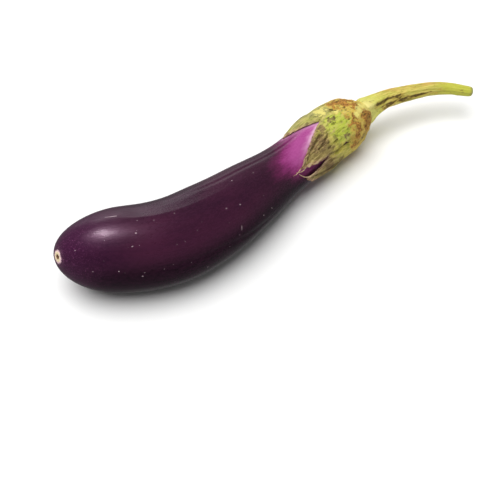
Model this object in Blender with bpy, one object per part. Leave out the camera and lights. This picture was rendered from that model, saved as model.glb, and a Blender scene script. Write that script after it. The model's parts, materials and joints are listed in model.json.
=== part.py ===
"""Long eggplant, picked with its stem and lying on its side: fruit, calyx and stem.

Run it with:  blender --background --python part.py
Units are metres and +Z is up. The fruit lies along X, its blossom end at -X and its stem at +X.

Each piece is first made straight, along X, with its place along the eggplant as its X:
0 at the blossom end, STEM_END at the cut end of the stem. One guide curve then bends all
three pieces, so they keep meeting face to face.
"""

import math

import bmesh
import bpy
from mathutils import Matrix, Vector

# Driving dimensions, along the straight eggplant.
FRUIT_LENGTH = 0.2095
CROWN_END = 0.2155
STEM_END = 0.2860
BLOSSOM_CAP = 0.041  # length of the rounded blossom end
SHOULDER_CAP = 0.020  # length of the rounded end under the calyx
GAP = 0.0003  # clearance between pieces that touch

# Fruit radius at stations along its length.
FRUIT_RADII = (
    (0.000, 0.0221),
    (0.036, 0.0230),
    (0.060, 0.0232),
    (0.088, 0.0221),
    (0.116, 0.0196),
    (0.145, 0.0156),
    (0.166, 0.0149),
    (0.188, 0.0146),
    (0.2095, 0.0142),
)

# Calyx: a cup over the fruit's shoulder whose rim is drawn out into pointed lobes.
CUP_EDGE = 0.178  # where the notches between the lobes end
CUP_RADII = (
    (0.178, 0.0170),
    (0.188, 0.0177),
    (0.198, 0.0173),
    (0.206, 0.0155),
    (0.212, 0.0123),
    (0.2155, 0.0090),
)
LOBE_WALL = 0.0010  # thickness at a lobe's tip
STUB = 0.0012  # the least that the rim stands out past the cup's edge
BOW = 0.8  # below 1 a lobe's sides bow outwards

# Lobes in turn round the fruit: the notch before it, its tip, and its length.
# Degrees count from -Y and turn up over the top.
LOBES = (
    (-6, 30, 0.035),
    (90, 126, 0.018),
    (156, 186, 0.026),
    (216, 246, 0.029),
    (282, 312, 0.024),
)

# Stem radius at stations along the straight eggplant.
STEM_RADII = (
    (0.2158, 0.0084),
    (0.2215, 0.0064),
    (0.2300, 0.0051),
    (0.2460, 0.0046),
    (0.2660, 0.0040),
    (0.2860, 0.0032),
)

# Middle line of the eggplant as it lies, from the blossom end to the stem's cut end.
MIDDLE_LINE = (
    (-0.1376, 0.0052, 0.0246),
    (-0.1075, -0.0061, 0.0235),
    (-0.0815, -0.0133, 0.0227),
    (-0.0555, -0.0114, 0.0217),
    (-0.0230, -0.0019, 0.0196),
    (0.0075, 0.0089, 0.0173),
    (0.0390, 0.0172, 0.0178),
    (0.0735, 0.0222, 0.0186),
    (0.0970, 0.0226, 0.0196),
    (0.1195, 0.0174, 0.0196),
    (0.1385, 0.0069, 0.0172),
)

FRUIT_SIDES = 36
FRUIT_RINGS = 34
CALYX_SIDES = 60
CUP_RINGS = 6
LOBE_RINGS = 5
STEM_SIDES = 16
STEM_RINGS = 16

SKIN_PURPLE = (0.028, 0.006, 0.022)
CALYX_GREEN = (0.24, 0.26, 0.06)
STEM_GREEN = (0.42, 0.44, 0.10)


def clear_scene():
    for obj in list(bpy.data.objects):
        bpy.data.objects.remove(obj, do_unlink=True)


def new_collection(name):
    made = bpy.data.collections.new(name)
    bpy.context.scene.collection.children.link(made)
    return made


def material(name, colour, roughness):
    made = bpy.data.materials.new(name)
    made.use_nodes = True
    shader = made.node_tree.nodes["Principled BSDF"]
    shader.inputs["Base Color"].default_value = (*colour, 1.0)
    shader.inputs["Roughness"].default_value = roughness
    shader.inputs["Metallic"].default_value = 0.0
    return made


def through(stations, place):
    """Value of the smooth line through (place, value) stations."""
    last = len(stations) - 2
    i = 0
    while i < last and place > stations[i + 1][0]:
        i += 1
    (x0, y0), (x1, y1) = stations[i], stations[i + 1]
    before, after = stations[max(i - 1, 0)], stations[min(i + 2, last + 1)]
    slope0 = (y1 - before[1]) / (x1 - before[0])
    slope1 = (after[1] - y0) / (after[0] - x0)
    span = x1 - x0
    t = min(max((place - x0) / span, 0.0), 1.0)
    return (
        y0 * (1 + 2 * t) * (1 - t) ** 2
        + slope0 * span * t * (1 - t) ** 2
        + y1 * t**2 * (3 - 2 * t)
        + slope1 * span * t**2 * (t - 1)
    )


def fruit_radius(x):
    """Radius of the fruit at x: its stations, rounded off as an ellipse at both ends."""
    blossom = max(1 - x / BLOSSOM_CAP, 0.0)
    shoulder = max(1 - (FRUIT_LENGTH - x) / SHOULDER_CAP, 0.0)
    roundness = math.sqrt(max(1 - blossom**2, 0.0) * max(1 - shoulder**2, 0.0))
    return through(FRUIT_RADII, x) * roundness


def mesh_object(name, bm, collection, finish):
    mesh = bpy.data.meshes.new(name)
    bm.to_mesh(mesh)
    bm.free()
    mesh.shade_smooth()
    mesh.materials.append(finish)
    obj = bpy.data.objects.new(name, mesh)
    collection.objects.link(obj)
    return obj


def turned(profile, sides):
    """A bmesh of the (x, radius) profile turned once round the X axis. Both its ends lie on the axis."""
    bm = bmesh.new()
    verts = [bm.verts.new((x, radius, 0.0)) for x, radius in profile]
    edges = [bm.edges.new(pair) for pair in zip(verts, verts[1:])]
    bmesh.ops.spin(
        bm,
        geom=verts + edges,
        cent=(0, 0, 0),
        axis=(1, 0, 0),
        angle=math.tau,
        steps=sides,
        use_merge=True,
    )
    bmesh.ops.remove_doubles(bm, verts=bm.verts, dist=0.00001)
    bmesh.ops.recalc_face_normals(bm, faces=bm.faces)
    return bm


def bend_along(obj, guide):
    bend = obj.modifiers.new("bend", "CURVE")
    bend.object = guide
    bend.deform_axis = "POS_X"


def make_guide(collection):
    """The middle line as a smooth curve that the straight pieces are bent along."""
    curve = bpy.data.curves.new("middle_line", "CURVE")
    curve.dimensions = "3D"
    curve.twist_mode = "Z_UP"
    curve.resolution_u = 24
    spline = curve.splines.new("BEZIER")
    spline.bezier_points.add(len(MIDDLE_LINE) - 1)
    for point, place in zip(spline.bezier_points, MIDDLE_LINE):
        point.co = place
        point.handle_left_type = "AUTO"
        point.handle_right_type = "AUTO"
    guide = bpy.data.objects.new("middle_line", curve)
    guide.hide_render = True
    collection.objects.link(guide)
    return guide


def make_floor_cutter(collection):
    """A block below the floor plane, which trims the belly to the flat spot that it rests on."""
    bm = bmesh.new()
    bmesh.ops.create_cube(bm, size=1.0, matrix=Matrix.Diagonal((0.5, 0.3, 0.02, 1.0)))
    bmesh.ops.translate(bm, verts=bm.verts, vec=Vector((0, 0, -0.01)))
    mesh = bpy.data.meshes.new("floor_cutter")
    bm.to_mesh(mesh)
    bm.free()
    cutter = bpy.data.objects.new("floor_cutter", mesh)
    cutter.hide_render = True
    cutter.display_type = "WIRE"
    collection.objects.link(cutter)
    return cutter


def make_fruit(collection, guide, cutter):
    """The fruit: one solid from blossom end to shoulder, with the flat spot that it lies on."""
    profile = []
    for ring in range(FRUIT_RINGS + 1):
        # Rings crowd together towards both rounded ends.
        x = FRUIT_LENGTH * (1 - math.cos(math.pi * ring / FRUIT_RINGS)) / 2
        profile.append((x, fruit_radius(x)))
    skin = material("skin", SKIN_PURPLE, 0.28)
    fruit = mesh_object("fruit", turned(profile, FRUIT_SIDES), collection, skin)
    bend_along(fruit, guide)
    trim = fruit.modifiers.new("flat_spot", "BOOLEAN")
    trim.operation = "DIFFERENCE"
    trim.solver = "EXACT"
    trim.object = cutter
    return fruit


def lobe_length(angle):
    """How far the calyx's rim stands out past the cup's edge at this angle in degrees."""
    turn = (angle - LOBES[0][0]) % 360
    for i, (notch, tip, length) in enumerate(LOBES):
        start = notch - LOBES[0][0]
        end = LOBES[i + 1][0] - LOBES[0][0] if i + 1 < len(LOBES) else 360
        if turn > end:
            continue
        middle = start + tip - notch
        rise = (turn - start) / (middle - start) if turn < middle else (end - turn) / (end - middle)
        return max(length * max(rise, 0.0) ** BOW, STUB)
    return STUB


def wall_at(reach):
    """Calyx thickness: the cup's own at its edge, LOBE_WALL at a lobe's tip (reach 1)."""
    cup_wall = CUP_RADII[0][1] - fruit_radius(CUP_EDGE) - GAP
    return cup_wall + (LOBE_WALL - cup_wall) * reach


def calyx_profile():
    """(x, radius) points down the outside of the cup and a lobe, and back up their inside.

    Every lobe is drawn STUB long here. make_calyx() gives each its own shape.
    """
    outside = [(CROWN_END, 0.0)]
    inside = []
    for ring in range(CUP_RINGS):
        turn = math.pi / 2 * ring / CUP_RINGS
        x = CUP_EDGE + (CROWN_END - CUP_EDGE) * math.cos(turn)
        outside.append((x, through(CUP_RADII, x)))
        x = CUP_EDGE + (FRUIT_LENGTH - CUP_EDGE) * math.cos(turn)
        inside.append((x + GAP, fruit_radius(x) + GAP if ring else 0.0))
    for ring in range(LOBE_RINGS + 1):
        reach = ring / LOBE_RINGS
        x = CUP_EDGE - reach * STUB
        outside.append((x, fruit_radius(x) + GAP + wall_at(reach)))
        inside.append((x, fruit_radius(x) + GAP))
    return outside + inside[::-1]


def make_calyx(collection, guide):
    """The calyx: a turned cup whose rim is then drawn out into pointed lobes."""
    bm = turned(calyx_profile(), CALYX_SIDES)
    for vert in bm.verts:
        x, y, z = vert.co
        if x > CUP_EDGE:
            continue
        reach = (CUP_EDGE - x) / STUB
        outer = math.hypot(y, z) > fruit_radius(x) + GAP + LOBE_WALL / 2
        angle = math.atan2(z, -y)
        x = CUP_EDGE - reach * lobe_length(math.degrees(angle))
        radius = fruit_radius(x) + GAP + (wall_at(reach) if outer else 0.0)
        vert.co = (x, -radius * math.cos(angle), radius * math.sin(angle))
    calyx = mesh_object("calyx", bm, collection, material("calyx", CALYX_GREEN, 0.75))
    bend_along(calyx, guide)
    return calyx


def make_stem(collection, guide):
    """The stem: a tapering stalk, flared where it meets the crown and cut flat at its end."""
    start = CROWN_END + GAP
    profile = [(start, 0.0)]
    for ring in range(STEM_RINGS + 1):
        x = start + (STEM_END - start) * ring / STEM_RINGS
        profile.append((x, through(STEM_RADII, x)))
    profile.append((STEM_END, 0.0))
    stem = mesh_object("stem", turned(profile, STEM_SIDES), collection, material("stem", STEM_GREEN, 0.7))
    bend_along(stem, guide)
    return stem


def main():
    clear_scene()
    parts = new_collection("eggplant")
    helpers = new_collection("cutters")
    guide = make_guide(helpers)
    cutter = make_floor_cutter(helpers)
    make_fruit(parts, guide, cutter)
    make_calyx(parts, guide)
    make_stem(parts, guide)


main()
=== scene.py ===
# %% [markdown]
# # A long eggplant, lying on its side
#
# An eggplant is three things grown together: the fruit with its tight, waxy skin, the calyx, which is the
# green cap with five pointed lobes, and the stem. Each of them is modelled straight, along X, where rings and
# lobes are easy to place. One curve then bends all three, so they still meet after bending.
#
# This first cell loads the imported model. Everything made below takes its place.

import json
import math

import bpy
import numpy as np
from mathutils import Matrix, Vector, noise

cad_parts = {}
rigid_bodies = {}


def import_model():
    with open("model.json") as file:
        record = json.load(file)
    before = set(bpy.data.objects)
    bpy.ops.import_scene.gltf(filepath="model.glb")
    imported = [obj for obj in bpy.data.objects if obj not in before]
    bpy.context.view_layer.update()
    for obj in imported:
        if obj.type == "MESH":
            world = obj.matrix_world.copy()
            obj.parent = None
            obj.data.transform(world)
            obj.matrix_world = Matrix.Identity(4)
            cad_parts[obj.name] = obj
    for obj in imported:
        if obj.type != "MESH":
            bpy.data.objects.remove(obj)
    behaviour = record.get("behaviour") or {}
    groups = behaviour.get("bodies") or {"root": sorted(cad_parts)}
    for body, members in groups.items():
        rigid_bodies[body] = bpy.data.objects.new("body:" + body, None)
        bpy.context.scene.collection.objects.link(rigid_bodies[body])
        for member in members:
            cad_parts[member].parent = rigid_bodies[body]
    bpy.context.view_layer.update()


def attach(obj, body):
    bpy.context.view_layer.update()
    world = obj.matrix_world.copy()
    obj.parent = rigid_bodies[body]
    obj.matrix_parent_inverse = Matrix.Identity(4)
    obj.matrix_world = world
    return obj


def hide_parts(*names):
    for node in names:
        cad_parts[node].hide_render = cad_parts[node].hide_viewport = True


bpy.ops.object.select_all(action="SELECT")
bpy.ops.object.delete()
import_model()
MM = 0.001

# %% [markdown]
# ## Helpers
#
# Blender's operators act on whatever is selected, and the loaded nodes are still selected. So the first
# helper selects just one object, and the next ones apply a modifier to it, join pieces, and turn faces
# outwards.

# %% Helpers that act on a piece
def pick(piece):
    """Select one object and nothing else."""
    bpy.ops.object.select_all(action="DESELECT")
    bpy.context.view_layer.objects.active = piece
    piece.select_set(True)


def apply_modifier(piece, kind, **settings):
    """Add a modifier with these settings and apply it at once."""
    pick(piece)
    modifier = piece.modifiers.new(kind.lower(), kind)
    for name, value in settings.items():
        setattr(modifier, name, value)
    bpy.ops.object.modifier_apply(modifier=modifier.name)


def join_pieces(pieces, name):
    """Make several objects one, with this name."""
    pick(pieces[0])
    for piece in pieces[1:]:
        piece.select_set(True)
    bpy.ops.object.join()
    joined = bpy.context.object
    joined.name = name
    joined.data.name = name
    return joined


def face_outwards(piece, merge_within=None):
    """Turn all faces outwards, after merging vertices that are as close as this."""
    pick(piece)
    bpy.ops.object.mode_set(mode="EDIT")
    bpy.ops.mesh.select_all(action="SELECT")
    if merge_within is not None:
        bpy.ops.mesh.remove_doubles(threshold=merge_within)
    bpy.ops.mesh.normals_make_consistent(inside=False)
    bpy.ops.object.mode_set(mode="OBJECT")


# %% [markdown]
# A vertex is a place, and any number can be kept with it. The material reads these numbers later, so a colour
# can follow the distance from the calyx, for example. numpy moves all the places at once.

# %% Helpers for places and numbers
def places(piece):
    """The vertex places of a piece, as an array with one row for each vertex."""
    flat = np.empty(3 * len(piece.data.vertices), np.float32)
    piece.data.vertices.foreach_get("co", flat)
    return flat.reshape(-1, 3).astype(float)


def put_places(piece, table):
    piece.data.vertices.foreach_set("co", np.ascontiguousarray(table, np.float32).ravel())
    piece.data.update()


def keep_number(piece, name, values):
    """Store one number for each vertex."""
    layer = piece.data.attributes.new(name, "FLOAT", "POINT")
    layer.data.foreach_set("value", np.ascontiguousarray(values, np.float32))


def kept_number(piece, name):
    """Read back the numbers that keep_number stored."""
    values = np.empty(len(piece.data.vertices), np.float32)
    piece.data.attributes[name].data.foreach_get("value", values)
    return values.astype(float)


def round_the_axis(piece):
    """For each vertex: place, mm along X, distance from X, turn round X from the front, and the way out."""
    straight = places(piece)
    radius = np.hypot(straight[:, 1], straight[:, 2])
    turn = np.arctan2(straight[:, 2], -straight[:, 1])
    outward = np.zeros_like(straight)
    outward[:, 1:] = straight[:, 1:] / np.maximum(radius, 1e-6)[:, None]
    return straight, straight[:, 0] / MM, radius, turn, outward


def rest_on_floor(piece, gap=0.0):
    """Press the piece flat where it would go through the floor."""
    lying = places(piece)
    lying[:, 2] = np.maximum(lying[:, 2], gap)
    put_places(piece, lying)


# %% [markdown]
# What grew is smooth but never even. These helpers give smooth steps, smooth lines through a few chosen
# stations, and smooth random lumps that are the same each time.

# %% Helpers for smooth values
def lumps(table, size, seed=0.0):
    """Smooth random numbers from about -1 to 1, one for each place, with lumps about this size in metres."""
    shift = Vector((seed * 7.31, seed * 3.17, seed * 5.71))
    return np.array([noise.noise(Vector(row) / size + shift) for row in table])


def through(stations, place):
    """Value at a place on the smooth line through (place, value) stations."""
    last = len(stations) - 2
    i = 0
    while i < last and place > stations[i + 1][0]:
        i += 1
    (x0, y0), (x1, y1) = stations[i], stations[i + 1]
    before, after = stations[max(i - 1, 0)], stations[min(i + 2, last + 1)]
    slope0 = (y1 - before[1]) / (x1 - before[0])
    slope1 = (after[1] - y0) / (after[0] - x0)
    span = x1 - x0
    t = min(max((place - x0) / span, 0.0), 1.0)
    start = y0 * (1 + 2 * t) * (1 - t) ** 2 + slope0 * span * t * (1 - t) ** 2
    return start + y1 * t**2 * (3 - 2 * t) + slope1 * span * t**2 * (t - 1)


def through_all(stations, many):
    return np.array([through(stations, place) for place in many])


def step_between(low, high, values):
    """0 below low, 1 above high, and a smooth rise between them."""
    t = np.clip((np.asarray(values, float) - low) / (high - low), 0, 1)
    return t * t * (3 - 2 * t)


def apart(first, second):
    """Degrees from the second angle to the first, the short way round."""
    return (first - second + 180) % 360 - 180


# %% [markdown]
# ## Camera
#
# A long lens from about two feet away, looking down at 48 degrees: close enough to feel the size of the
# eggplant, and long enough that it isn't distorted.

# %% Camera
CAMERA_TURN = math.radians(-30)
CAMERA_RISE = math.radians(48)
CAMERA_AWAY = 0.627
look_at = Vector((-0.0446, -0.0398, 0.020))
away = Vector(
    (
        math.sin(CAMERA_TURN) * math.cos(CAMERA_RISE),
        -math.cos(CAMERA_TURN) * math.cos(CAMERA_RISE),
        math.sin(CAMERA_RISE),
    )
)
bpy.ops.object.camera_add(location=look_at + away * CAMERA_AWAY)
camera = bpy.context.object
camera.name = "camera"
camera.rotation_euler = away.to_track_quat("Z", "Y").to_euler()
camera.data.lens = 85
camera.data.clip_start = 0.01
bpy.context.scene.camera = camera
print("camera at", [round(c, 3) for c in camera.location])

# %% [markdown]
# ## The middle line
#
# A real eggplant bends as it grows, because one side grows faster. The same thing is done here with a Curve
# modifier: it carries a straight piece along a curve, so a point 100 mm along the piece lands 100 mm along
# the curve. "Z up" keeps the top of the straight piece on top.

# %% Middle line to bend the pieces along
MIDDLE_LINE = (
    (-0.1376, 0.0052, 0.0246),
    (-0.1081, -0.0071, 0.0235),
    (-0.0823, -0.0147, 0.0227),
    (-0.0563, -0.0128, 0.0217),
    (-0.0242, -0.0039, 0.0196),
    (0.0063, 0.0067, 0.0173),
    (0.0387, 0.0166, 0.0178),
    (0.0735, 0.0222, 0.0186),
    (0.0970, 0.0226, 0.0196),
    (0.1195, 0.0174, 0.0196),
    (0.1385, 0.0069, 0.0172),
)


def new_curve(stops):
    """A smooth curve object through (place, radius) stops."""
    bpy.ops.object.select_all(action="DESELECT")
    bpy.ops.curve.primitive_bezier_curve_add()
    curve = bpy.context.object
    spline = curve.data.splines[0]
    spline.bezier_points.add(len(stops) - 2)
    for point, (place, radius) in zip(spline.bezier_points, stops):
        point.co = place
        point.handle_left_type = point.handle_right_type = "AUTO"
        point.radius = radius
    return curve


middle_line = new_curve([(place, 1.0) for place in MIDDLE_LINE])
middle_line.data.twist_mode = "Z_UP"
middle_line.data.resolution_u = 24
bpy.context.view_layer.update()
print("middle line, mm:", round(1000 * middle_line.data.splines[0].calc_length(), 1))


def bend(piece):
    """Carry a straight piece along the middle line. Its straight places stay with it as 'straight'."""
    layer = piece.data.attributes.new("straight", "FLOAT_VECTOR", "POINT")
    layer.data.foreach_set("vector", np.ascontiguousarray(places(piece), np.float32).ravel())
    apply_modifier(piece, "CURVE", object=middle_line, deform_axis="POS_X")


# %% [markdown]
# ## Fruit
#
# The fruit is fat at the blossom end and slim at the neck. It could be a sphere that is pulled long, but then
# its rings are crowded at the poles and far apart in the middle. Here a small ring is extruded again and
# again, as a potter would pull a wall, and each new ring is scaled to the fruit's thickness there. The rings
# stand closer together at the two round ends.

# %% Thickness of the fruit
FRUIT_LENGTH = 209.5 * MM
BLOSSOM_CAP = 38 * MM
SHOULDER_CAP = 20 * MM
FRUIT_RADII = (
    (0.000, 0.0221), (0.036, 0.0230), (0.060, 0.0232), (0.088, 0.0221), (0.116, 0.0193),
    (0.145, 0.0154), (0.166, 0.0149), (0.188, 0.0146), (0.2095, 0.0142),
)


def fruit_radius(x):
    """Thickness of the fruit at x, rounded off as an ellipse at both ends."""
    blossom = max(1 - x / BLOSSOM_CAP, 0.0)
    shoulder = max(1 - (FRUIT_LENGTH - x) / SHOULDER_CAP, 0.0)
    return through(FRUIT_RADII, x) * math.sqrt(max(1 - blossom**2, 0.0) * max(1 - shoulder**2, 0.0))


def on_skin(place, degrees, above=0.0):
    """A place on the straight fruit, from mm along it, degrees round it and mm above its skin."""
    out = fruit_radius(place * MM) + above * MM
    turn = math.radians(degrees)
    return (place * MM, -out * math.cos(turn), out * math.sin(turn))


print("fruit at its thickest, mm:", round(2000 * max(radius for _, radius in FRUIT_RADII), 1))

# %% Fruit: rings pulled along the length
def new_tube(name, stations, sides):
    """A closed tube along X, made by extruding one ring through all the (x, radius) stations."""
    x, radius = stations[0]
    pick(middle_line)
    bpy.ops.mesh.primitive_circle_add(
        vertices=sides, radius=radius, location=(x, 0, 0), rotation=(0, math.pi / 2, 0)
    )
    tube = bpy.context.object
    tube.name = name
    tube.data.name = name
    bpy.ops.object.transform_apply(location=True, rotation=True, scale=True)
    bpy.ops.object.mode_set(mode="EDIT")
    bpy.ops.mesh.select_all(action="SELECT")
    bpy.ops.mesh.edge_face_add()
    bpy.ops.mesh.poke()
    bpy.ops.mesh.select_all(action="DESELECT")
    bpy.ops.object.mode_set(mode="OBJECT")
    for vert in tube.data.vertices:
        vert.select = math.hypot(vert.co.y, vert.co.z) > radius / 2
    bpy.ops.object.mode_set(mode="EDIT")
    bpy.ops.mesh.select_mode(type="VERT")
    for next_x, next_radius in stations[1:]:
        bpy.ops.mesh.extrude_region_move(TRANSFORM_OT_translate={"value": (next_x - x, 0, 0)})
        share = next_radius / radius
        bpy.ops.transform.resize(value=(1, share, share), center_override=(next_x, 0, 0))
        x, radius = next_x, next_radius
    bpy.ops.mesh.edge_face_add()
    bpy.ops.mesh.poke()
    bpy.ops.object.mode_set(mode="OBJECT")
    face_outwards(tube)
    bpy.ops.object.shade_smooth()
    return tube


FRUIT_RINGS = 38
fruit_stations = [(0.06 * MM, 0.8 * MM)]
for ring in range(1, FRUIT_RINGS):
    x = FRUIT_LENGTH * (1 - math.cos(math.pi * ring / FRUIT_RINGS)) / 2
    fruit_stations.append((x, fruit_radius(x)))
fruit_stations.append((FRUIT_LENGTH - 0.06 * MM, 1.0 * MM))
fruit = new_tube("fruit_skin", fruit_stations, 64)
apply_modifier(fruit, "SUBSURF", levels=2, render_levels=2)
print("fruit:", len(fruit.data.vertices), "vertices")

# %% [markdown]
# ## Rim of the calyx
#
# The colour of the skin depends on how far it is from the calyx, so the calyx is laid out before the skin is
# finished. Each lobe is described by its two notches, its tip, and one point on each side that its edge bows
# towards. Angles turn round the fruit from its front, up over the top.

# %% Lobes of the calyx
# For each lobe: notch, bow, tip, bow and next notch, each as (degrees, mm along the eggplant).
LOBES = (
    ((17, 171), (26, 158), (36, 146), (64, 161), (92, 180.5)),
    ((92, 180.5), (109, 170), (124, 157), (150, 168), (168, 181)),
    ((168, 181), (174, 162), (198, 148), (224, 164), (238, 179)),
    ((238, 179), (246, 160), (264, 146), (282, 164), (296, 181)),
    ((296, 181), (332, 158), (370, 149), (363, 161), (377, 171)),
)
EDGE_STEPS = 30


def edge_point(start, bow, end, share):
    """A place on the curved edge of a lobe: (degrees, mm)."""
    first, second, third = (1 - share) ** 2, 2 * share * (1 - share), share**2
    return tuple(first * a + second * b + third * c for a, b, c in zip(start, bow, end))


rim = []
for notch, bow, tip, next_bow, next_notch in LOBES:
    rim += [edge_point(notch, bow, tip, step / EDGE_STEPS) for step in range(EDGE_STEPS)]
    rim += [edge_point(tip, next_bow, next_notch, step / EDGE_STEPS) for step in range(EDGE_STEPS)]
rim = np.array(rim)


def distance_from_rim(place, degrees, out):
    """Distance in mm to the rim, for places in mm along and degrees round, on a skin this many mm out."""
    side = np.radians(apart(degrees[:, None], rim[None, :, 0])) * out[:, None]
    return np.sqrt(side**2 + (place[:, None] - rim[None, :, 1]) ** 2).min(1)


print("rim of the calyx:", len(rim), "places, longest lobe ends at", rim[:, 1].min(), "mm")

# %% [markdown]
# ## Shape of the skin
#
# A turned shape looks machine made. A real one has five faint flats, one for each lobe of the calyx, a few
# shallow furrows that run along it, a clearer facet along its top, and soft unevenness all over. They are
# pushed in by small moves of the vertices, which is what a sculpting brush does.

# %% Furrows, flats and unevenness
straight, along, radius, turn, outward = round_the_axis(fruit)
angle = np.degrees(turn)


def furrow(stations, width, depth, start, end):
    """How far in, in mm, a furrow goes: it follows (mm, degrees) stations from start to end."""
    off = apart(angle, through_all(stations, along))
    shown = step_between(start, start + 22, along) * (1 - step_between(end - 22, end, along))
    return depth * shown * np.exp(-((off / width) ** 2))


dent = furrow(((40, 112), (70, 109), (108, 103), (131, 101), (170, 104)), 3.4, 0.34, 44, 172)
dent += furrow(((35, 15), (55, 14), (80, 10), (97, 1), (130, -8)), 4.0, 0.30, 34, 128)
dent += furrow(((40, 176), (120, 168), (180, 163)), 6.0, 0.24, 60, 176)
dent += furrow(((40, -112), (120, -120), (180, -124)), 6.0, 0.24, 50, 176)

FACET_HALF = 11  # degrees from the middle of the facet to its edges
facet_middle = through_all(((36, 104), (53, 100), (79, 96), (100, 94), (125, 90)), along)
aside = np.clip(apart(angle, facet_middle), -FACET_HALF, FACET_HALF)
facet = 1 - math.cos(math.radians(FACET_HALF)) / np.cos(np.radians(aside))
facet *= step_between(34, 46, along) * (1 - 0.5 * step_between(85, 105, along))
facet *= 1 - step_between(108, 132, along)

flats = 0.0045 * np.cos(np.radians(5 * (angle - 50))) * step_between(20, 120, along)
swell = 0.22 * MM * lumps(straight * (0.5, 1, 1), 17 * MM, 1)
grown = (flats * radius + swell) * step_between(0, 14, along) - dent * MM - facet * radius
moved = straight + outward * grown[:, None]
print("deepest furrow, mm:", round(dent.max(), 2))

# %% [markdown]
# The blossom scar is where the flower fell off: a small corky ring with a dark pit, a little off the very
# end. Its lip is raised and its middle sunk along the way that it faces, and the fruit is then bent and set
# on the floor.

# %% Blossom scar
SCAR_TURN = 38  # degrees up from the front
SCAR_TILT = 0.36 / 0.90  # how far it looks up and forward for each step back along the fruit
facing = np.array(
    (-1, -SCAR_TILT * math.cos(math.radians(SCAR_TURN)), SCAR_TILT * math.sin(math.radians(SCAR_TURN)))
)
from_centre = straight - np.array(on_skin(2.1, SCAR_TURN))
wobble = 1 + 0.16 * lumps(from_centre, 1.6 * MM, 4) + 0.10 * lumps(from_centre, 0.7 * MM, 5)
scar = np.linalg.norm(from_centre, axis=1) / MM * wobble
lip = 0.28 * np.exp(-(((scar - 2.3) / 0.85) ** 2))
pit = 0.85 * (1 - step_between(0.5, 1.6, scar))
sink = 0.25 * (1 - step_between(2.0, 5.5, scar))
moved += ((lip - pit - sink) * MM)[:, None] * facing / np.linalg.norm(facing)
put_places(fruit, moved)
print("vertices in the scar:", int((scar < 3.1).sum()))

# %% [markdown]
# The skin's colours follow a few numbers that are kept on every vertex: how far it is from the calyx and from
# the scar, how strongly it has blushed, how pale its edge is, where its underside is painted in shade, and
# where a darker reflection is painted near the scar.

# %% Numbers for the skin's colours
# Each line of stations is (degrees round, value).
BLUSH = (
    (-180, 0.75), (-120, 0.8), (-70, 0.5), (-30, 0.15), (5, 0.2), (22, 0.6),
    (36, 1.05), (50, 1.08), (92, 0.96), (108, 0.80), (125, 0.75), (180, 0.75),
)
BLUSH_START = (
    (-180, 126), (0, 126), (24, 123), (45, 117), (72, 117),
    (92, 126), (108, 134), (140, 130), (180, 126),
)
BLUSH_RISE = 40  # mm from its start to its full colour
PALE = (
    (-180, 0.6), (-40, 0.1), (20, 0.0), (46, 0.05), (58, 0.3),
    (70, 0.9), (94, 0.9), (104, 0.3), (130, 0.4), (180, 0.6),
)

fingers = 5.0 * lumps(straight * (0.25, 1, 1), 6 * MM, 7) + 3.0 * lumps(straight * (0.2, 1, 1), 2.2 * MM, 8)
reached = step_between(0, 1, (along + fingers - through_all(BLUSH_START, angle)) / BLUSH_RISE)
blotchy = np.clip(0.75 + 0.6 * lumps(straight, 2.4 * MM, 9), 0.2, 1.2)
keep_number(fruit, "from_calyx", distance_from_rim(along, angle, radius / MM))
keep_number(fruit, "blush", through_all(BLUSH, angle) * reached)
keep_number(fruit, "pale", through_all(PALE, angle) * blotchy)
keep_number(fruit, "from_scar", scar)
# Painted shade: where the underside is darkened as if it lay in shade.
keep_number(fruit, "shaded_underside", 1 - step_between(32, 64, np.abs(apart(angle, -26))))
# Painted reflection: a darker patch near the scar that stands for darker surroundings seen in the skin.
keep_number(fruit, "dark_reflection", np.exp(-(((angle - 36) / 15) ** 2) - ((along - 24) / 15) ** 2))
bend(fruit)
rest_on_floor(fruit)
print("fruit height, mm:", round(1000 * places(fruit)[:, 2].max(), 1))

# %% [markdown]
# ## Node helpers for the materials
#
# Every finish here is built from Blender's own texture nodes. These few helpers keep the material cells
# short: each adds one node or a few, joins the inputs, and gives back the output.

# %% Node helpers: the basics
def new_material(name):
    made = bpy.data.materials.new(name)
    made.use_nodes = True
    nodes = made.node_tree.nodes
    nodes.clear()
    shader = nodes.new("ShaderNodeBsdfPrincipled")
    output = nodes.new("ShaderNodeOutputMaterial")
    made.node_tree.links.new(shader.outputs["BSDF"], output.inputs["Surface"])
    return made, shader


def wear(piece, material):
    """Give the piece this material and no other."""
    piece.data.materials.clear()
    piece.data.materials.append(material)
    print(piece.name, "wears", material.name, "with", len(material.node_tree.nodes), "nodes")


def read(material, name, output="Fac"):
    """What a piece keeps for each vertex under this name."""
    node = material.node_tree.nodes.new("ShaderNodeAttribute")
    node.attribute_name = name
    return node.outputs[output]


def join(value, socket):
    """Link an output to a socket, or set the socket if the value is a plain one."""
    if isinstance(value, bpy.types.NodeSocket):
        socket.id_data.links.new(value, socket)
    else:
        socket.default_value = value


def new_node(beside_socket, kind, *values):
    """A node in the same material as a socket, with its first inputs joined to these values."""
    node = beside_socket.id_data.nodes.new(kind)
    for value, socket in zip(values, node.inputs):
        join(value, socket)
    return node


def work(kind, first, second=0.0):
    """One sum: ADD, SUBTRACT, MULTIPLY, MAXIMUM, MINIMUM..."""
    node = new_node(first, "ShaderNodeMath", first, second)
    node.operation = kind
    return node.outputs[0]


def times(first, *others):
    """All the values multiplied."""
    for other in others:
        first = work("MULTIPLY", first, other)
    return first


def vector_work(kind, first, second, output="Vector"):
    """One sum with vectors: SUBTRACT, DISTANCE, DOT_PRODUCT..."""
    node = new_node(first, "ShaderNodeVectorMath", first, second)
    node.operation = kind
    return node.outputs[output]


def axis_of(vector, axis):
    return new_node(vector, "ShaderNodeSeparateXYZ", vector).outputs[axis]


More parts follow.
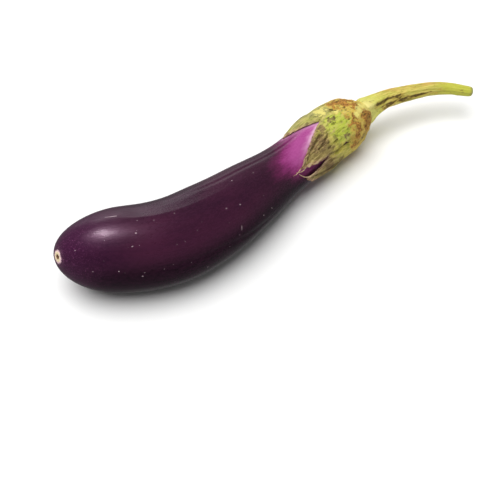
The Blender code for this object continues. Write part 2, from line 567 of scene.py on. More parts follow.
# %% Node helpers: patterns, edges and colours
def pattern(kind, vector, size, stretch, shift):
    """A texture node whose pattern is about this many mm across. stretch makes it longer along an axis."""
    mapping = new_node(vector, "ShaderNodeMapping", vector)
    mapping.inputs["Location"].default_value = (shift, shift * 0.7, shift * 1.3)
    mapping.inputs["Scale"].default_value = [1 / (size * MM * longer) for longer in stretch]
    node = new_node(vector, kind)
    node.inputs["Scale"].default_value = 1.0
    join(mapping.outputs["Vector"], node.inputs["Vector"])
    return node


def cloud(vector, size, detail=3.0, rough=0.5, stretch=(1, 1, 1), shift=0.0):
    """Cloudy noise from 0 to 1."""
    node = pattern("ShaderNodeTexNoise", vector, size, stretch, shift)
    node.inputs["Detail"].default_value = detail
    node.inputs["Roughness"].default_value = rough
    return node.outputs[0]


def cells(vector, size, shift=0.0):
    """Distance from the nearest of many scattered points, and a random colour for each point."""
    node = pattern("ShaderNodeTexVoronoi", vector, size, (1, 1, 1), shift)
    return node.outputs["Distance"], node.outputs["Color"]


def fade(value, low, high, to_low=0.0, to_high=1.0):
    """A smooth change from to_low to to_high as the value goes from low to high."""
    if low > high:
        low, high, to_low, to_high = high, low, to_high, to_low
    node = new_node(value, "ShaderNodeMapRange", value, low, high, to_low, to_high)
    node.interpolation_type = "SMOOTHSTEP"
    return node.outputs["Result"]


def stray(value, clouds, down, up=None):
    """The value moved by clouds, as far down and up as this. An edge that follows it comes out ragged."""
    return work("ADD", value, fade(clouds, 0.25, 0.75, -down, down if up is None else up))


def beside(value, middle):
    """How far the value is from a middle one, on either side."""
    return work("ABSOLUTE", work("SUBTRACT", value, middle))


def near_line(vector, start, end, width):
    """1 on the straight line between two places, fading to 0 this many mm to its sides."""
    run = Vector(end) - Vector(start)
    offset = vector_work("SUBTRACT", vector, start)
    share = vector_work("DOT_PRODUCT", offset, run / run.length_squared, "Value")
    share = work("MINIMUM", work("MAXIMUM", share, 0.0), 1.0)
    aside = vector_work("DISTANCE", offset, vector_work("MULTIPLY", share, run), "Value")
    return fade(aside, width * MM, 0.0)


def blend_colour(share, first, second):
    """first where share is 0, second where it is 1."""
    node = new_node(share, "ShaderNodeMix", share)
    node.data_type = "RGBA"
    for value, socket in ((first, node.inputs[6]), (second, node.inputs[7])):
        join(value if isinstance(value, bpy.types.NodeSocket) else (*value, 1.0), socket)
    return node.outputs[2]


def paint(ground, *coats):
    """Coats of (share, colour) over a ground colour, one after another."""
    for share, colour in coats:
        ground = blend_colour(share, ground, colour)
    return ground


def relief(shader, height, depth, strength):
    """Fine relief that is too small for the mesh. depth is in mm."""
    node = new_node(height, "ShaderNodeBump")
    node.inputs["Strength"].default_value = strength
    node.inputs["Distance"].default_value = depth * MM
    join(height, node.inputs["Height"])
    join(node.outputs["Normal"], shader.inputs["Normal"])


# %% [markdown]
# ## Skin
#
# Eggplant skin is almost black-purple, smooth and waxy, so it is mostly seen by what it reflects. Its colour
# is never flat: it is cloudy, faintly streaked, darker towards the neck, and more violet at the blossom end.
# Its underside is painted darker as shade, and a darker reflection is painted near the scar.

# %% Skin: dark purple
skin, skin_shader = new_material("eggplant_skin")
spot = read(skin, "straight", "Vector")
from_calyx, from_scar, blush, pale, dark_reflection, shaded_underside = (
    read(skin, name) for name in ("from_calyx", "from_scar", "blush", "pale", "dark_reflection", "shaded_underside")
)
length = axis_of(spot, 0)
tone = cloud(spot, 26, stretch=(2.2, 1, 1), detail=4)
mottle = cloud(spot, 1.4, stretch=(1.6, 1, 1), detail=5, rough=0.7)
streak = cloud(spot, 2.2, stretch=(12, 1, 1), detail=4, rough=0.6)
shaded_underside = times(shaded_underside, fade(length, 0.004, 0.030))
purple = paint(
    (0.019, 0.0036, 0.013),
    (fade(tone, 0.35, 0.68), (0.044, 0.0075, 0.024)),
    (fade(length, 0.045, 0.008), (0.034, 0.0032, 0.026)),
    (fade(length, 0.085, 0.135, 0.0, 0.45), (0.015, 0.0036, 0.010)),
    # Painted shade: the underside darkened as if it lay in shade.
    (times(shaded_underside, 0.86), (0.004, 0.0012, 0.004)),
    # Painted reflection: darker near the scar, standing for darker surroundings seen in the skin.
    (times(dark_reflection, 0.75), (0.014, 0.0008, 0.011)),
    (fade(mottle, 0.30, 0.75, 0.0, 0.25), (0.070, 0.012, 0.042)),
    (fade(streak, 0.40, 0.75, 0.0, 0.20), (0.017, 0.003, 0.016)),
)

# %% [markdown]
# Skin that the calyx covered as it grew never saw light. So it is almost white at the calyx, then
# pink-violet, and dark only further off. The blush ends in fine streaks, because fibres of noise push its
# edge to and fro.

# %% Skin: blush next to the calyx
fibre = cloud(spot, 1.1, stretch=(9, 1, 1), detail=4, rough=0.65)
fray = times(fade(fibre, 0.25, 0.75, -0.10, 0.10), fade(blush, 0.0, 0.2))
reach = work("ADD", blush, fray)
milky = stray(from_calyx, fibre, 1.0)
young = paint(
    purple,
    (fade(reach, 0.05, 0.42), (0.105, 0.012, 0.058)),
    (fade(reach, 0.34, 0.72), (0.245, 0.030, 0.150)),
    (fade(reach, 0.62, 1.0), (0.37, 0.068, 0.250)),
    (times(fade(milky, 4.0, 0.8), pale), (0.52, 0.20, 0.40)),
    (times(fade(from_calyx, 1.9, 0.5), pale), (0.66, 0.40, 0.54)),
)

# %% [markdown]
# A handled vegetable has small pale specks and scratches. Most come from scattered cells with a random
# colour, of which only a few are picked. The clearest ones have a place of their own, each a short line on
# the skin.

# %% Skin: specks and scratches
speck_far, speck_dice = cells(spot, 6.5)
speck_pick = fade(axis_of(speck_dice, 0), 0.78, 0.82, 0.0, 0.8)
tiny_far, tiny_dice = cells(spot, 2.4, shift=3.0)
tiny_pick = fade(axis_of(tiny_dice, 1), 0.74, 0.78)
speck = times(fade(speck_far, 0.060, 0.028), speck_pick)
tiny = times(fade(tiny_far, 0.075, 0.03), tiny_pick, 0.65)
marks = work("MAXIMUM", speck, tiny)
# Each mark: start and end as (mm along, degrees round), width in mm, and how pale it is.
MARKS = (
    ((28.5, 100), (31.5, 98.6), 0.30, 0.6),
    ((31.0, 98.8), (34.5, 98), 0.34, 0.95),
    ((43, 67), (43.3, 67), 0.40, 1.0),
    ((40.5, 50), (41, 50.5), 0.34, 0.8),
    ((45, 13), (45.3, 13.5), 0.36, 0.8),
    ((44, 8), (44.3, 8), 0.36, 0.8),
    ((44.5, 85), (44.8, 85), 0.32, 0.35),
    ((52.5, 81), (52.8, 81), 0.32, 0.35),
    ((12, 53), (12.3, 53), 0.34, 0.6),
    ((20, 18), (20.4, 18), 0.34, 0.5),
    ((63.5, 83), (63.8, 83), 0.36, 0.5),
    ((88.5, 57), (88.8, 57), 0.45, 0.5),
    ((92, 18), (92.5, 24), 0.32, 0.7),
    ((108, 14), (108.3, 14), 0.40, 0.6),
    ((117.5, 82), (117.8, 83), 0.40, 0.5),
    ((62, 150), (67, 153), 0.28, 0.6),
    ((100, -60), (106, -57), 0.28, 0.5),
)
for start, end, width, strength in MARKS:
    mark = near_line(spot, on_skin(*start), on_skin(*end), width)
    marks = work("MAXIMUM", marks, times(mark, strength))
freckles = fade(cloud(spot, 0.55, rough=0.6, shift=11.0), 0.56, 0.68)
freckles = times(freckles, fade(length, 0.034, 0.004, 0.0, 0.75))
print("marks with a place of their own:", len(MARKS))

# %% [markdown]
# The scar has a dark pit, a ring of straw-coloured cork, and a ragged pale edge with crumbs round it. Then
# the shine: the wax is smooth, and duller where the skin is marked, corky, or faces the ground.

# %% Skin: scar, shine and fine relief
crumb = cloud(spot, 0.5, detail=4, rough=0.7)
halo = times(fade(from_scar, 7.5, 3.2), fade(crumb, 0.54, 0.66))
cork = blend_colour(fade(crumb, 0.35, 0.65), (0.58, 0.44, 0.22), (0.80, 0.70, 0.50))
scarred = paint(
    young,
    (freckles, (0.20, 0.055, 0.15)),
    (times(marks, 0.9), (0.74, 0.58, 0.62)),
    (halo, (0.48, 0.22, 0.36)),
    (fade(stray(from_scar, crumb, 0.8), 3.9, 3.2), (0.80, 0.56, 0.58)),
    (fade(from_scar, 3.1, 2.5), cork),
    (fade(from_scar, 1.7, 1.2), (0.14, 0.065, 0.03)),
    (fade(from_scar, 1.0, 0.5), (0.035, 0.016, 0.010)),
)
join(scarred, skin_shader.inputs["Base Color"])

dull = fade(mottle, 0.25, 0.8, 0.23, 0.33)
dull = work("ADD", dull, fade(length, 0.060, 0.030, 0.0, 0.07))
dull = work("MAXIMUM", dull, times(marks, 0.6))
dull = work("MAXIMUM", dull, fade(from_scar, 3.6, 2.6, 0.0, 0.75))
join(dull, skin_shader.inputs["Roughness"])
join(fade(shaded_underside, 0.0, 1.0, 0.45, 0.20), skin_shader.inputs["Specular IOR Level"])
skin_shader.inputs["IOR"].default_value = 1.45
skin_shader.inputs["Specular Tint"].default_value = (1.0, 0.62, 0.86, 1.0)
skin_shader.inputs["Coat Weight"].default_value = 0.10
skin_shader.inputs["Coat Roughness"].default_value = 0.16

pores = cloud(spot, 0.7, stretch=(3, 1, 1), rough=0.6)
wrinkle = cloud(spot, 3.2, stretch=(7, 1, 1))
height = work("ADD", times(pores, 0.25), times(wrinkle, 0.9))
height = work("ADD", height, times(crumb, 0.22))
height = work("SUBTRACT", height, times(marks, 0.4))
relief(skin_shader, height, 0.12, 0.8)
wear(fruit, skin)

# %% [markdown]
# ## Calyx
#
# The calyx is a leathery leaf cap. Each of its five lobes starts as a flat grid, like a piece cut from a
# sheet. The grid's columns are laid from the stem down to the cup's edge and on to the lobe's tip, and the
# five lobes are then joined at their sides. So far this is only a plan: places along the eggplant, turns
# round it, and a height for the cup.

# %% Calyx: five sheets laid over the shoulder
CUP_PROFILE = (
    (217.0, 0.3), (216.8, 5.0), (215.6, 8.8), (212.2, 12.2),
    (206.4, 15.5), (198.0, 17.4), (188.0, 17.8), (180.0, 17.2),
)
CUP_SHARE = 0.48  # how much of each column lies in the cup, before the lobes part
BLUNT = 0.985  # the tips stop just short of a point

walked = [0.0]
for (x0, r0), (x1, r1) in zip(CUP_PROFILE, CUP_PROFILE[1:]):
    walked.append(walked[-1] + math.hypot(x1 - x0, r1 - r0))
walked = np.array(walked) / walked[-1]
cup_place_line = [(share, place) for share, (place, _) in zip(walked, CUP_PROFILE)]
cup_radius_line = [(share, out) for share, (_, out) in zip(walked, CUP_PROFILE)]


def between(first, last, share):
    return [a + (b - a) * share for a, b in zip(first, last)]


sheets = []
for number, (notch, bow, tip, next_bow, next_notch) in enumerate(LOBES):
    bpy.ops.object.select_all(action="DESELECT")
    bpy.ops.mesh.primitive_grid_add(x_subdivisions=48, y_subdivisions=88, size=1.0)
    sheet = bpy.context.object
    flat = places(sheet)[:, :2] + 0.5
    laid = np.zeros((len(flat), 3))
    for i, (across, down) in enumerate(flat):
        if down <= CUP_SHARE:
            share = down / CUP_SHARE
            turn, base_place = between(notch, next_notch, across)
            place = through(cup_place_line, share) + (base_place - 180.0) * share**3
            out = through(cup_radius_line, share)
        else:
            share = (down - CUP_SHARE) / (1 - CUP_SHARE) * BLUNT
            first = edge_point(notch, bow, tip, share)
            last = edge_point(next_notch, next_bow, tip, share)
            turn, place = between(first, last, across)
            out = 0.0
        laid[i] = (place, math.radians(turn), out)
    put_places(sheet, laid)
    keep_number(sheet, "lobe", np.full(len(laid), float(number)))
    keep_number(sheet, "across", flat[:, 0])
    keep_number(sheet, "down", flat[:, 1])
    sheets.append(sheet)

calyx = join_pieces(sheets, "calyx_leaf")
plan = places(calyx)
place, turn, cup_out = plan[:, 0], plan[:, 1], plan[:, 2]
degrees = np.degrees(turn)
across, down, lobe = (kept_number(calyx, name) for name in ("across", "down", "lobe"))
skin_out = np.array([fruit_radius(p * MM) / MM if p < 209.0 else 0.0 for p in place])
print("calyx sheets:", len(plan), "vertices")

# %% [markdown]
# A calyx is never clean. It has cracks, one deep fold down the front lobe, corky patches and a few creamy ones
# round the stem, and dry brown areas towards the tips. Each is set down here by its place on the plan, and the
# shape and the colours both follow it. The fold is coloured dark like the cracks, which is painted shade in
# the fold.

# %% Calyx: fold, cracks and patches
# Lines go through (mm along, degrees round) places.
FOLD = (((169, 19), (177, 19), (185, 16), (191, 10)),)
# The fold is listed with the cracks, so it is painted dark: painted shade in the fold.
CRACKS_AND_SHADED_FOLD = FOLD + (
    ((190.5, 99), (193.5, 90), (195.5, 82)),
    ((172, 65), (166.5, 60), (162, 54), (158, 49), (154, 41)),
    ((193.5, 66), (194.5, 58)),
    ((176, 56), (170, 48), (165, 44)),
    ((180, 38), (171, 34)),
    ((176, -14), (166, -10), (158, -4)),
    ((186, 150), (178, 157), (168, 152)),
    ((186, 202), (172, 205), (160, 200)),
    ((176, -60), (168, -72)),
    ((188, -100), (172, -95), (160, -97)),
    ((192, 168), (194, 190), (197, 205)),
    ((190, -140), (182, -126)),
)
# Patches are (mm along, degrees round, radius in mm).
CORK = (
    (197, 107, 5.5), (202, 101, 6.5), (203, 91, 5.5), (206, 82, 5), (205, 74, 4), (210, 54, 6),
    (213, 40, 7), (208, 42, 6), (212, 26, 6.5), (207, 20, 5), (199, 27, 4.5), (197, 15, 4.5),
    (195, 2, 4.5), (198, 58, 3.5), (196.5, 46, 4), (206, 150, 5), (208, 205, 5), (203, 262, 6),
    (207, 310, 4), (197, -60, 5), (197, 175, 3.5), (214, 125, 3),
)
CREAM = (
    (214, 72, 4), (210, 73, 3.4), (206, 66, 2.8), (202, 58, 2.4),
    (211, 178, 4), (212, -70, 4), (192, 88, 2), (186, 108, 4),
)
DRY = (
    (185.5, 77, 3.6), (170, 56, 5), (164, 50, 4), (194, 14, 4), (180, -16, 6), (170, -6, 5),
    (176, 74, 3), (188, 34, 3), (195, 62, 3), (197, 33, 3.4), (203, 8, 4), (193, 96, 2.6),
    (176, 150, 6), (172, 205, 8), (168, 262, 8), (190, 230, 5), (188, 285, 5), (160, 120, 3),
    (200, 4, 4),
)
mm_for_degree = np.radians(1) * np.maximum(cup_out, skin_out)


def nearest_line(lines):
    """Distance in mm to the nearest of some bent lines."""
    best = np.full(len(plan), 99.0)
    for line in lines:
        for (s0, a0), (s1, a1) in zip(line, line[1:]):
            x, y = place - s0, apart(degrees, a0) * mm_for_degree
            run_x, run_y = s1 - s0, (a1 - a0) * mm_for_degree
            share = np.clip((x * run_x + y * run_y) / (run_x**2 + run_y**2), 0, 1)
            best = np.minimum(best, np.hypot(x - share * run_x, y - share * run_y))
    return best


def patches(spots):
    """1 in the middle of each round patch, down to 0 at its edge and below."""
    best = np.full(len(plan), -2.0)
    for s0, a0, size in spots:
        best = np.maximum(best, 1 - np.hypot(place - s0, apart(degrees, a0) * mm_for_degree) / size)
    return best


near = np.full(len(plan), 99.0)
reach_rim = place < 200
near[reach_rim] = distance_from_rim(place[reach_rim], degrees[reach_rim], skin_out[reach_rim])
crack_and_fold = nearest_line(CRACKS_AND_SHADED_FOLD)
print("cracks:", len(CRACKS_AND_SHADED_FOLD), "patches:", len(CORK + CREAM + DRY))

# %% [markdown]
# Now the plan is wrapped round the fruit. The sheet rests on the skin at the rim and stands away from it
# where it is thick. It gets veins that run down each lobe, furrows between the lobes, the cracks, warts round
# the stem, and a dry rim that is ragged and curls. All heights here are in mm.

# %% Calyx: wrapped round the fruit
in_lobe = down > CUP_SHARE
flat_lobe = lobe == 1  # this one lies closer to the fruit than the others
lobe_lift = np.where(flat_lobe, 0.5, 0.9) + np.where(flat_lobe, 2.3, 1.9) * step_between(146, 181, place)
sheet_out = np.where(in_lobe, skin_out + lobe_lift, cup_out)
thick = 1 - np.exp(-near / 2.2)
front = np.exp(-((apart(degrees, -12) / 48) ** 2))
top = np.exp(-((apart(degrees, 115) / 44) ** 2))
slimmer = 0.6 + 1.5 * front
slimmer += top * (0.3 * step_between(188, 195, place) + 1.7 * step_between(203, 210, place))
slimmer *= step_between(176, 188, place) * step_between(2, 13, cup_out + 99 * in_lobe)
sheet_out = np.where(place < 209, np.maximum(sheet_out - slimmer, skin_out + 1.1), sheet_out - slimmer)
rim_out = np.where(place < 200, skin_out + 0.62, sheet_out)
out = rim_out + (sheet_out - rim_out) * thick

fine = np.stack([place, out * np.cos(turn), out * np.sin(turn)], 1)
vein = lumps(fine * (0.09, 1, 1), 1.5, 11)
ridge = 1 - np.abs(lumps(fine * (0.10, 1, 1), 2.6, 12))
wart = np.clip(lumps(fine, 2.6, 14) + 0.5 * lumps(fine, 1.2, 15), 0, 1)
low = 1.0 - 0.75 * step_between(162, 188, place)
out += thick * (0.30 * lumps(fine, 7.0, 13) + 0.20 * vein * low + 0.35 * (ridge - 0.75) * low)
out += step_between(192, 208, place) * step_between(4, 9, out) * (0.75 * wart - 0.1)
middle = 1 - (2 * across - 1) ** 2
out += thick * 0.7 * (middle - 0.5) * step_between(150, 178, place) * (1 - step_between(196, 211, place))
valley = np.minimum(across, 1 - across) * np.radians(72) * out
out -= 0.9 * np.exp(-((valley / 1.5) ** 2)) * (1 - step_between(184, 206, place)) * ~in_lobe

curl = (1 - step_between(0.2, 2.2, near)) * step_between(0.55, 0.9, down) * np.where(flat_lobe, 0.1, 1.0)
out += curl * (0.5 + 1.3 * np.clip(lumps(fine, 3.0, 16) + 0.25, 0, 1))
lifted = (lobe == 0) * (1 - step_between(0.8, 4.5, near)) * np.exp(-((apart(degrees, 24) / 14) ** 2))
lifted *= step_between(0.5, 0.6, down) * step_between(148, 155, place) * (1 - step_between(172, 180, place))
out += 1.5 * lifted
fold_side = np.where(apart(degrees, 19) > 0, 1.0, -0.5)
out += thick * 0.8 * fold_side * (1 - step_between(0.4, 3.5, nearest_line(FOLD)))
out -= 0.5 * np.exp(-((crack_and_fold / 0.7) ** 2)) * thick
ragged = 1 - step_between(0.0, 1.6, near)
place += ragged * (0.55 * lumps(fine, 1.1, 17) + 0.35 * lumps(fine, 0.5, 18))
turn += ragged * 0.55 * lumps(fine, 1.2, 19) / np.maximum(out, 5)

# The stem sits a little high on the crown, towards this side.
PERCH_Y, PERCH_Z = math.cos(math.radians(100)), math.sin(math.radians(100))
perch = 0.7 * step_between(199, 215, place)
across_axis = (-out * np.cos(turn) - perch * PERCH_Y, out * np.sin(turn) + perch * PERCH_Z)
put_places(calyx, np.stack([place, *across_axis], 1) * MM)
print("calyx stands off its axis by up to", round(out.max(), 1), "mm")

# %% [markdown]
# The wrapped sheet still has no thickness. Its doubled edges are merged first, and the numbers for its
# colours are kept. Then Solidify gives it a wall that follows a vertex group: 1.8 mm in the cup, and thin and
# papery at the rim.

# %% Calyx: its wall
THICKEST = 3.0
wall = np.clip(np.minimum(out - skin_out - 0.14, 0.4 + 0.3 * near), 0.25, THICKEST)
for name, values in (
    ("from_rim", near),
    ("wall", np.where(place < 190, wall, 1.8)),
    ("crack_and_fold", crack_and_fold),
    ("corky", patches(CORK) - 1.2 * np.clip(patches(CREAM), 0, 1)),
    ("creamy", patches(CREAM)),
    ("dry", patches(DRY)),
    ("on_top", np.cos(np.radians(apart(degrees, 112)))),
):
    keep_number(calyx, name, values)
face_outwards(calyx, merge_within=0.03 * MM)
group = calyx.vertex_groups.new(name="wall")
for index, value in enumerate(kept_number(calyx, "wall")):
    group.add([index], min(value / THICKEST, 1.0), "REPLACE")
apply_modifier(
    calyx,
    "SOLIDIFY",
    thickness=THICKEST * MM,
    offset=-1.0,
    vertex_group="wall",
    use_rim=True,
    use_quality_normals=True,
)
pick(calyx)
bpy.ops.object.shade_smooth()
bend(calyx)
rest_on_floor(calyx, 0.05 * MM)
print("calyx:", len(calyx.data.polygons), "faces")

# %% [markdown]
# ## Calyx finish
#
# A calyx that has dried a little is many colours at once: lime green where it is still fresh, straw yellow
# near the stem, olive towards the tips. The patches follow noise, so none repeats, and pale and dark fibres
# run down the lobes.

# %% Calyx: greens
leaf, leaf_shader = new_material("calyx_leaf")
spot = read(leaf, "straight", "Vector")
from_rim, from_crack_and_fold, corky, creamy, dry, on_top = (
    read(leaf, name) for name in ("from_rim", "crack_and_fold", "corky", "creamy", "dry", "on_top")
)
place_on = times(axis_of(spot, 0), 1000.0)
broad = cloud(spot, 7.0, detail=5, rough=0.6, shift=2.0)
blot = cloud(spot, 3.2, detail=6, rough=0.68, shift=5.0)
grit = cloud(spot, 0.8, detail=5, rough=0.7, shift=4.0)
fibre = cloud(spot, 1.1, stretch=(8, 1, 1), detail=5, rough=0.7)

near_stem = stray(place_on, blot, 7.0)
back_lobe = times(fade(on_top, 0.80, 0.98), fade(near_stem, 194.0, 186.0))
back_green = blend_colour(fade(broad, 0.40, 0.60), (0.36, 0.35, 0.12), (0.46, 0.44, 0.11))
LIME_SPOT = (186 * MM, -9.4 * MM, 14.0 * MM)
from_lime = times(vector_work("DISTANCE", spot, LIME_SPOT, "Value"), 1000.0)
lime = fade(stray(from_lime, blot, 4.0), 10.5, 8.0)
towards_tip = times(fade(stray(place_on, blot, 8.0), 183.0, 170.0), fade(on_top, 0.95, 0.6))
dried = fade(stray(dry, blot, 0.75), 0.15, 0.55)
dry_brown = blend_colour(fade(fibre, 0.38, 0.62), (0.060, 0.036, 0.015), (0.30, 0.19, 0.085))
green = paint(
    (0.38, 0.38, 0.045),
    (fade(broad, 0.36, 0.60), (0.66, 0.58, 0.10)),
    (fade(stray(on_top, blot, 0.5), 0.35, 1.1), (0.62, 0.58, 0.14)),
    (fade(near_stem, 189.0, 200.0), (0.78, 0.57, 0.10)),
    (back_lobe, back_green),
    (lime, (0.54, 0.63, 0.060)),
    (towards_tip, (0.29, 0.215, 0.070)),
    (fade(fibre, 0.44, 0.68, 0.0, 0.75), (0.62, 0.50, 0.19)),
    (fade(fibre, 0.50, 0.32, 0.0, 0.80), (0.115, 0.085, 0.025)),
    (times(dried, 0.85), dry_brown),
)

# %% [markdown]
# Over the greens come the corky patches with straw-yellow round them, the creamy ones, dark cracks and stains,
# painted shade along the fold, and the papery rim. The shine stays low, except on the fresh green.

# %% Calyx: cork, cracks and papery rim
ragged_cork = stray(stray(corky, blot, 0.85, 0.95), grit, 0.22)
cork_share = fade(ragged_cork, 0.24, 0.50)
cork = blend_colour(fade(grit, 0.40, 0.60), (0.20, 0.078, 0.018), (0.66, 0.33, 0.065))
# This share also takes in the fold, where the dark is painted shade.
crack_share = fade(stray(from_crack_and_fold, blot, 0.5, 0.9), 0.75, 0.15)
stain = fade(cloud(spot, 2.8, detail=7, rough=0.74, shift=21.0), 0.54, 0.66)
stain = times(stain, fade(near_stem, 192.0, 204.0, 0.55, 0.80))
dark = work("MAXIMUM", crack_share, stain)
papery = blend_colour(fade(fibre, 0.38, 0.62), (0.20, 0.085, 0.050), (0.60, 0.42, 0.25))
edge_share = fade(stray(from_rim, grit, 0.9), 1.9, 0.5)
green = paint(
    green,
    (times(fade(ragged_cork, -0.35, 0.05), 0.8), (0.72, 0.50, 0.095)),
    (cork_share, cork),
    (fade(stray(creamy, blot, 0.6), 0.0, 0.35, 0.0, 0.85), (0.86, 0.76, 0.22)),
    # Dark cracks and stains, and painted shade along the fold.
    (times(dark, 0.93), (0.095, 0.055, 0.014)),
    (times(edge_share, fade(place_on, 181.0, 166.0, 0.25, 0.95)), papery),
)
join(green, leaf_shader.inputs["Base Color"])
join(fade(lime, 0.0, 1.0, 0.80, 0.52), leaf_shader.inputs["Roughness"])
leaf_shader.inputs["Specular IOR Level"].default_value = 0.3
height = work("ADD", times(fibre, 1.1), times(grit, 0.9))
height = work("ADD", height, times(cork_share, 0.5))
height = work("SUBTRACT", height, times(dark, 1.2))
relief(leaf_shader, height, 0.7, 0.9)
wear(calyx, leaf)

# %% [markdown]
# ## Dry threads
#
# The tip of the front lobe has frayed into a few dry threads. Each is a curve with a round bevel, thinner
# towards its end, turned into a mesh and bent with the fruit.

# %% Threads at the lobe's tip
# Each stop: mm along, degrees round, mm above the skin, thickness.
THREADS = (
    (
        (154, 42, 1, 1), (149.5, 39, 1.4, 0.9), (145.5, 35, 1, 0.8),
        (142.5, 33, 0.7, 0.5), (138.5, 35, 0.9, 0.2),
    ),
    ((157, 34, 1.2, 1), (152, 34, 1.8, 0.9), (148, 31, 1.5, 0.7), (145, 32, 0.9, 0.5), (142.5, 36, 0.8, 0.2)),
    ((158, 8, 1.2, 0.9), (153, 10, 1.9, 0.9), (148.5, 15, 1.5, 0.8), (146, 22, 1, 0.6), (144, 30, 0.9, 0.3)),
)
threads = []
for stops in THREADS:
    thread = new_curve([(on_skin(*stop), thickness) for *stop, thickness in stops])
    thread.data.dimensions = "3D"
    thread.data.resolution_u = 8
    thread.data.bevel_depth = 0.34 * MM
    thread.data.bevel_resolution = 2
    thread.data.use_fill_caps = True
    bpy.ops.object.convert(target="MESH")
    threads.append(bpy.context.object)
threads = join_pieces(threads, "calyx_threads")
face_outwards(threads)
bpy.ops.object.shade_smooth()
bend(threads)

straw, straw_shader = new_material("calyx_threads")
dusty = fade(cloud(read(straw, "straight", "Vector"), 0.9, detail=4, rough=0.7), 0.35, 0.65)
straw_colour = blend_colour(dusty, (0.30, 0.17, 0.09), (0.72, 0.56, 0.33))
join(straw_colour, straw_shader.inputs["Base Color"])
straw_shader.inputs["Roughness"].default_value = 0.8
wear(threads, straw)

# %% [markdown]
# ## Stem
#
# The stem is a woody stalk. It widens where it grows out of the calyx, has blunt ribs that run along it, and
# was cut straight across. It is pulled ring by ring, as the fruit was, and its ribs are then pressed in. Its
# foot sits a little high on the calyx, so it is pushed up there.

# %% Stem
# Stations are (mm along, radius in mm), and those of the perch are (mm along, mm up).
STEM_STATIONS = (
    (213.5, 7.9), (215.0, 8.2), (216.2, 8.2), (217.6, 7.8), (219.2, 7.2), (221.4, 6.6), (224.5, 6.1),
    (229.0, 5.7), (236.0, 5.3), (245.0, 4.8), (256.0, 4.25), (266.0, 3.8), (275.0, 3.45),
    (281.0, 3.25), (285.6, 3.15), (287.4, 2.95), (288.4, 2.4), (288.8, 1.6), (288.8, 0.8),
)
PERCH = (
    (213, 0.8), (217, 1.5), (222, 2.3), (228, 2.6), (233, 2.4),
    (241, 1.4), (249, 0.6), (262, 0.45), (275, 0.4), (288, 0),
)
stem = new_tube("stem_stalk", [(x * MM, out * MM) for x, out in STEM_STATIONS], 24)
apply_modifier(stem, "SUBSURF", levels=3, render_levels=3)
straight, along, radius, turn, outward = round_the_axis(stem)
twist = 0.010 * (along - 216)
ribs = 0.055 * np.cos(5 * (turn + twist)) + 0.03 * np.cos(11 * turn + 1.3 + 2 * twist)
grooves = -0.22 * np.clip(lumps(straight * (0.10, 1, 1), 1.5 * MM, 31) - 0.15, 0, 1)
lump = 0.20 * lumps(straight, 6 * MM, 32) + 0.10 * lumps(straight, 2.2 * MM, 33)
foot = 0.5 * (1 - step_between(216, 232, along)) * np.cos(5 * (turn - math.radians(50)))
push = (ribs * radius / MM + grooves + lump + foot) * step_between(0.5, 2.5, radius / MM) * MM
moved = straight + outward * push[:, None]
moved[:, 0] += 0.15 * MM * step_between(287.8, 288.5, along) * lumps(straight, 0.9 * MM, 34)
perch = through_all(PERCH, along) * MM
moved[:, 1] -= perch * PERCH_Y
moved[:, 2] += perch * PERCH_Z
put_places(stem, moved)
keep_number(stem, "round", turn)
bend(stem)
print("stem:", len(stem.data.polygons), "faces")

# %% [markdown]
# ## Stem finish
#
# Yellow-green along its length and almost cream at its foot, with fine fibres. Dark brown cracks with a tan
# edge run along two rows on its front, where the stalk has rubbed and dried. The cut end is a paler, greyer
# green with a brown rim.

# %% Stem: cracks
stalk, stalk_shader = new_material("stem_stalk")
spot = read(stalk, "straight", "Vector")
place_on = times(axis_of(spot, 0), 1000.0)
turned = read(stalk, "round")


def row(middle, outer, inner, *ends):
    """A row along the stem round this turn. Each of its ends is (mm where it is gone, mm where it is full)."""
    shares = (fade(place_on, gone, full) for gone, full in ends)
    return times(fade(beside(turned, middle), outer, inner), *shares)


upper_row = row(0.70, 0.40, 0.08, (217.0, 223.0), (250.0, 238.0))
lower_row = row(0.15, 0.42, 0.08, (222.0, 229.0), (280.0, 250.0))
cracked = cloud(spot, 1.5, stretch=(3.4, 1, 1), detail=7, rough=0.72, shift=6.0)
cracked = work("ADD", cracked, times(work("MAXIMUM", upper_row, lower_row), 0.23))
crack_share = fade(cracked, 0.67, 0.71)
tan_share = times(fade(cracked, 0.56, 0.66), fade(crack_share, 1.0, 0.0))

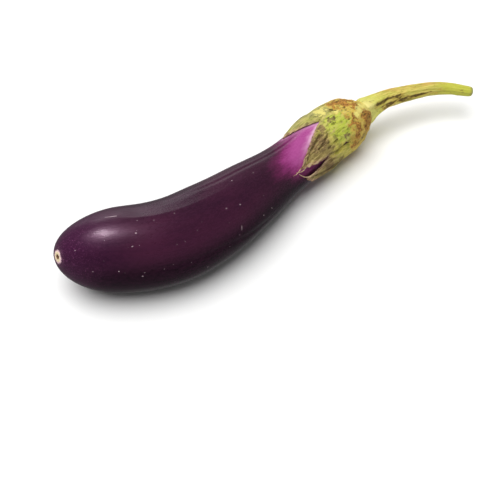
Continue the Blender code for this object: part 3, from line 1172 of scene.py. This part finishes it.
# %% Stem: colours and fine relief
broad = cloud(spot, 7.0, stretch=(2.5, 1, 1), detail=4, shift=3.0)
fibre = cloud(spot, 0.8, stretch=(12, 1, 1), detail=5, rough=0.7)
foot_place = work("ADD", place_on, fade(broad, 0.2, 0.8, -4.0, 4.0))
foot_share = fade(foot_place, 226.0, 216.0)
wedge = fade(beside(turned, 1.25), 0.55, 0.20, 0.35, 1.0)
rusty = times(row(1.9, 0.6, 0.2, (228.0, 236.0), (276.0, 262.0)), fade(broad, 0.42, 0.55))
freckle = cloud(spot, 1.4, stretch=(2, 1, 1), detail=6, rough=0.7, shift=15.0)
green = paint(
    (0.46, 0.44, 0.060),
    (fade(broad, 0.35, 0.65), (0.66, 0.51, 0.11)),
    (fade(fibre, 0.36, 0.68, 0.0, 0.5), (0.76, 0.66, 0.22)),
    (fade(fibre, 0.56, 0.34, 0.0, 0.65), (0.30, 0.25, 0.045)),
    (fade(place_on, 262.0, 274.0, 0.0, 0.7), (0.47, 0.50, 0.050)),
    (fade(place_on, 232.0, 222.0, 0.0, 0.6), (0.52, 0.58, 0.11)),
    (times(foot_share, wedge), (0.70, 0.62, 0.22)),
    (times(crack_share, 0.9), (0.075, 0.036, 0.007)),
    (times(tan_share, 0.6), (0.50, 0.30, 0.05)),
    (times(rusty, 0.55), (0.50, 0.27, 0.07)),
    (times(fade(freckle, 0.57, 0.66), 0.7), (0.20, 0.12, 0.025)),
    (fade(place_on, 286.0, 288.0, 0.0, 0.5), (0.20, 0.19, 0.09)),
    (fade(place_on, 287.9, 288.5), (0.36, 0.38, 0.26)),
)
join(green, stalk_shader.inputs["Base Color"])
stalk_shader.inputs["Roughness"].default_value = 0.66
stalk_shader.inputs["Specular IOR Level"].default_value = 0.3
height = work("SUBTRACT", fibre, times(crack_share, 1.4))
relief(stalk_shader, height, 0.35, 0.7)
wear(stem, stalk)

# %% [markdown]
# ## Floor and light
#
# The floor is a plain white sheet. Glossy dark skin is a mirror for its room, so the even light and the
# reflections are made apart. A broad sun, which reflections don't show, lights everything softly from above.
# Two lamps overhead are seen only as reflections: the soft bright patch near the blossom end. A wide pale
# wall and a brighter card stand low behind, and the skin shows them as the grey band along its upper side.
# The white floor is kept out of the reflections, and the room's own light is dim, so the skin keeps its
# colour.

# %% Floor
bpy.ops.mesh.primitive_grid_add(x_subdivisions=4, y_subdivisions=4, size=30.0, location=(0, 0, 0))
floor = bpy.context.object
floor.name = "floor"
paper, paper_shader = new_material("white_floor")
paper_spot = paper.node_tree.nodes.new("ShaderNodeTexCoord").outputs["Object"]
faint = cloud(paper_spot, 120)
paper_colour = blend_colour(faint, (0.86, 0.86, 0.86), (0.89, 0.89, 0.88))
join(paper_colour, paper_shader.inputs["Base Color"])
paper_shader.inputs["Roughness"].default_value = 0.8
paper_shader.inputs["Specular IOR Level"].default_value = 0.2
wear(floor, paper)
floor.visible_glossy = False


# %% Lamps and room
def add_lamp(name, toward, distance, width, depth, power, turn=0):
    """A soft rectangular lamp, this far from the eggplant in a direction, and facing it."""
    direction = Vector(toward).normalized()
    bpy.ops.object.light_add(type="AREA", location=Vector((-0.05, 0, 0.02)) + direction * distance)
    lamp = bpy.context.object
    lamp.name = name
    lamp.rotation_euler = direction.to_track_quat("Z", "Y").to_euler()
    lamp.rotation_euler.rotate_axis("Z", math.radians(turn))
    lamp.data.shape = "RECTANGLE"
    lamp.data.size = width
    lamp.data.size_y = depth
    lamp.data.energy = power
    return lamp


for overhead in (
    add_lamp("overhead_softbox", (-0.27, 0.25, 0.92), 1.0, 0.18, 0.34, 6.4, turn=-35),
    add_lamp("overhead_glow", (-0.27, 0.02, 0.96), 1.0, 0.16, 0.36, 0.5, turn=-20),
):
    overhead.visible_diffuse = False
bpy.ops.object.light_add(type="SUN", location=(0, 0, 1))
even = bpy.context.object
even.name = "even_light"
even.rotation_euler = Vector((-0.22, 0.02, 0.97)).to_track_quat("Z", "Y").to_euler()
even.data.energy = 3.5
even.data.angle = math.radians(60)
even.visible_glossy = False
add_lamp("pale_wall", (0.42, 0.88, 0.14), 1.5, 2.0, 0.42, 1.4)
add_lamp("bright_card", (0.16, 0.86, 0.47), 1.5, 0.62, 0.52, 2.0)
world = bpy.context.scene.world or bpy.data.worlds.new("room")
bpy.context.scene.world = world
world.use_nodes = True
world.node_tree.nodes["Background"].inputs["Color"].default_value = (1, 1, 1, 1)
world.node_tree.nodes["Background"].inputs["Strength"].default_value = 0.22
bpy.context.scene.view_settings.view_transform = "Standard"

# %% [markdown]
# ## Handing over
#
# The guide curve has done its work and is removed. Each piece takes the place of its plain CAD solid and rides
# on the one body.

# %% Finish
bpy.data.objects.remove(middle_line, do_unlink=True)
for piece, node, slot in (
    (fruit, "fruit", "skin"),
    (calyx, "calyx", "calyx"),
    (threads, "calyx", "calyx"),
    (stem, "stem", "stem"),
):
    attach(piece, "root")
    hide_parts(node)
